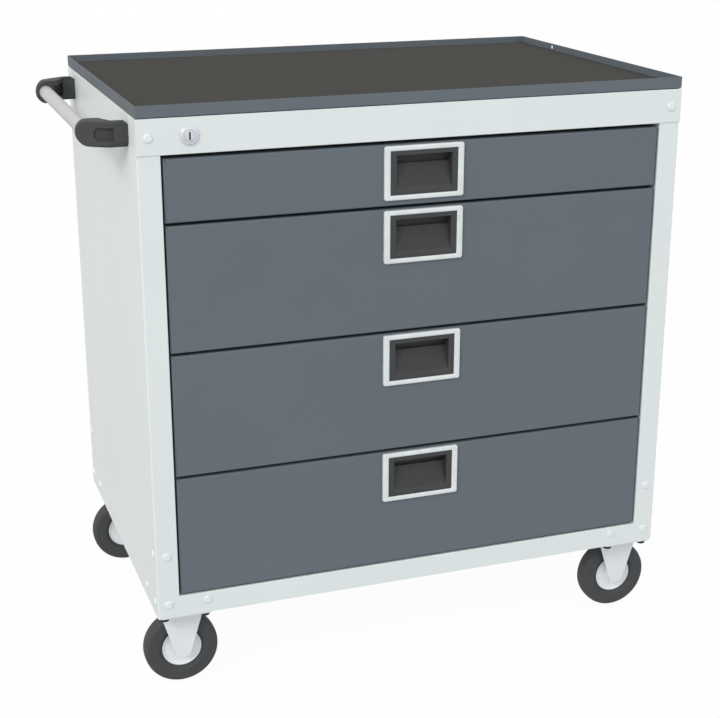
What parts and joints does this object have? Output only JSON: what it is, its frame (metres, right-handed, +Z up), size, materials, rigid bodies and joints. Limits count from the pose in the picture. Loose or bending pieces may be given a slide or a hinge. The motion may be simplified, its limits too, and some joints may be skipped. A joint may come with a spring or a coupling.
{
  "type": "tool trolley with drawers",
  "caption": "Light grey sheet-metal tool trolley with slate drawer fronts, cup pulls, a lipped matted tray, a side push handle, a central lock and fixed casters.",
  "frame": {"origin": "middle of the cabinet on the floor, at the floor stance", "axes": "+X to the right as seen from the drawers, the drawers face -Y, +Z up"},
  "size_m": [0.8803, 0.5437, 0.865],
  "materials": {
    "body_paint": "satin light grey powder coat",
    "slate_paint": "satin slate grey powder coat",
    "box_paint": "satin light grey powder coat",
    "mat_rubber": "ribbed matte",
    "black_plastic": "fine grain matte",
    "tube_metal": "satin anodised",
    "pull_frame": "satin light grey",
    "pull_cup": "matte black",
    "lock_metal": "satin nickel",
    "zinc_steel": "zinc plated",
    "caster_steel": "bright zinc plated",
    "bolt_steel": "black oxide",
    "hub_plastic": "satin light grey",
    "tyre": "dark grey rubber"
  },
  "bodies": {
    "cabinet": {"side_panel_left": "body_paint", "side_panel_right": "body_paint", "back_panel": "body_paint", "floor_panel": "body_paint", "top_rail": "body_paint", "corner_brackets": "zinc_steel", "frame_rivets": "body_paint", "top_tray": "slate_paint", "tray_mat": "mat_rubber", "slide_uprights": "zinc_steel", "slide_cabinet_rails": "zinc_steel", "lock_housing": "lock_metal", "lock_nut": "lock_metal", "lock_bar_guides": "black_plastic", "handle_bracket_front": "black_plastic", "handle_bracket_rear": "black_plastic", "handle_tube": "tube_metal", "handle_screws": "bolt_steel", "caster_axles": "caster_steel", "caster_bolts": "bolt_steel", "caster_fork_fl": "caster_steel", "caster_fork_fr": "caster_steel", "caster_fork_rl": "caster_steel", "caster_fork_rr": "caster_steel"},
    "lock_plug": {"lock_plug": "lock_metal", "lock_cam": "zinc_steel"},
    "lock_bar": {"lock_bar": "zinc_steel"},
    "drawer_1": {"drawer_1_front": "slate_paint", "drawer_1_box": "box_paint", "pull_1_frame": "pull_frame", "pull_1_cup": "pull_cup", "drawer_1_rails": "zinc_steel"},
    "drawer_1_mid": {"drawer_1_mid_rails": "zinc_steel"},
    "drawer_2": {"drawer_2_front": "slate_paint", "drawer_2_box": "box_paint", "pull_2_frame": "pull_frame", "pull_2_cup": "pull_cup", "drawer_2_rails": "zinc_steel"},
    "drawer_2_mid": {"drawer_2_mid_rails": "zinc_steel"},
    "drawer_3": {"drawer_3_front": "slate_paint", "drawer_3_box": "box_paint", "pull_3_frame": "pull_frame", "pull_3_cup": "pull_cup", "drawer_3_rails": "zinc_steel"},
    "drawer_3_mid": {"drawer_3_mid_rails": "zinc_steel"},
    "drawer_4": {"drawer_4_front": "slate_paint", "drawer_4_box": "box_paint", "pull_4_frame": "pull_frame", "pull_4_cup": "pull_cup", "drawer_4_rails": "zinc_steel"},
    "drawer_4_mid": {"drawer_4_mid_rails": "zinc_steel"},
    "wheel_fl": {"caster_hub_fl": "hub_plastic", "caster_tyre_fl": "tyre"},
    "wheel_fr": {"caster_hub_fr": "hub_plastic", "caster_tyre_fr": "tyre"},
    "wheel_rl": {"caster_hub_rl": "hub_plastic", "caster_tyre_rl": "tyre"},
    "wheel_rr": {"caster_hub_rr": "hub_plastic", "caster_tyre_rr": "tyre"}
  },
  "joints": [
    {"name": "drawer_1_slide", "type": "slide", "parent": "cabinet", "child": "drawer_1", "axis": [0, -1, 0], "range_m": [0, 0.43]},
    {"name": "drawer_1_mid_slide", "type": "slide", "parent": "cabinet", "child": "drawer_1_mid", "axis": [0, -1, 0], "range_m": [0, 0.215]},
    {"name": "drawer_2_slide", "type": "slide", "parent": "cabinet", "child": "drawer_2", "axis": [0, -1, 0], "range_m": [0, 0.43]},
    {"name": "drawer_2_mid_slide", "type": "slide", "parent": "cabinet", "child": "drawer_2_mid", "axis": [0, -1, 0], "range_m": [0, 0.215]},
    {"name": "drawer_3_slide", "type": "slide", "parent": "cabinet", "child": "drawer_3", "axis": [0, -1, 0], "range_m": [0, 0.43]},
    {"name": "drawer_3_mid_slide", "type": "slide", "parent": "cabinet", "child": "drawer_3_mid", "axis": [0, -1, 0], "range_m": [0, 0.215]},
    {"name": "drawer_4_slide", "type": "slide", "parent": "cabinet", "child": "drawer_4", "axis": [0, -1, 0], "range_m": [0, 0.43]},
    {"name": "drawer_4_mid_slide", "type": "slide", "parent": "cabinet", "child": "drawer_4_mid", "axis": [0, -1, 0], "range_m": [0, 0.215]},
    {"name": "wheel_fl_spin", "type": "hinge", "parent": "cabinet", "child": "wheel_fl", "pos_m": [-0.3588, -0.2156, 0.0553], "axis": [0, 1, 0], "continuous": true},
    {"name": "wheel_fr_spin", "type": "hinge", "parent": "cabinet", "child": "wheel_fr", "pos_m": [0.3588, -0.2156, 0.0553], "axis": [0, 1, 0], "continuous": true},
    {"name": "wheel_rl_spin", "type": "hinge", "parent": "cabinet", "child": "wheel_rl", "pos_m": [-0.3588, 0.2156, 0.0553], "axis": [0, 1, 0], "continuous": true},
    {"name": "wheel_rr_spin", "type": "hinge", "parent": "cabinet", "child": "wheel_rr", "pos_m": [0.3588, 0.2156, 0.0553], "axis": [0, 1, 0], "continuous": true},
    {"name": "lock_turn", "type": "hinge", "parent": "cabinet", "child": "lock_plug", "pos_m": [-0.3293, -0.27, 0.8236], "axis": [0, -1, 0], "range_deg": [0, 90]},
    {"name": "lock_bar_slide", "type": "slide", "parent": "cabinet", "child": "lock_bar", "axis": [0, 0, -1], "range_m": [0, 0.01414]}
  ],
  "couplings": [
    {"joint": "drawer_1_mid_slide", "follows": "drawer_1_slide", "ratio": 0.5},
    {"joint": "drawer_2_mid_slide", "follows": "drawer_2_slide", "ratio": 0.5},
    {"joint": "drawer_3_mid_slide", "follows": "drawer_3_slide", "ratio": 0.5},
    {"joint": "drawer_4_mid_slide", "follows": "drawer_4_slide", "ratio": 0.5},
    {"joint": "lock_turn", "follows": "lock_bar_slide", "rad_per_m": 111.07}
  ]
}
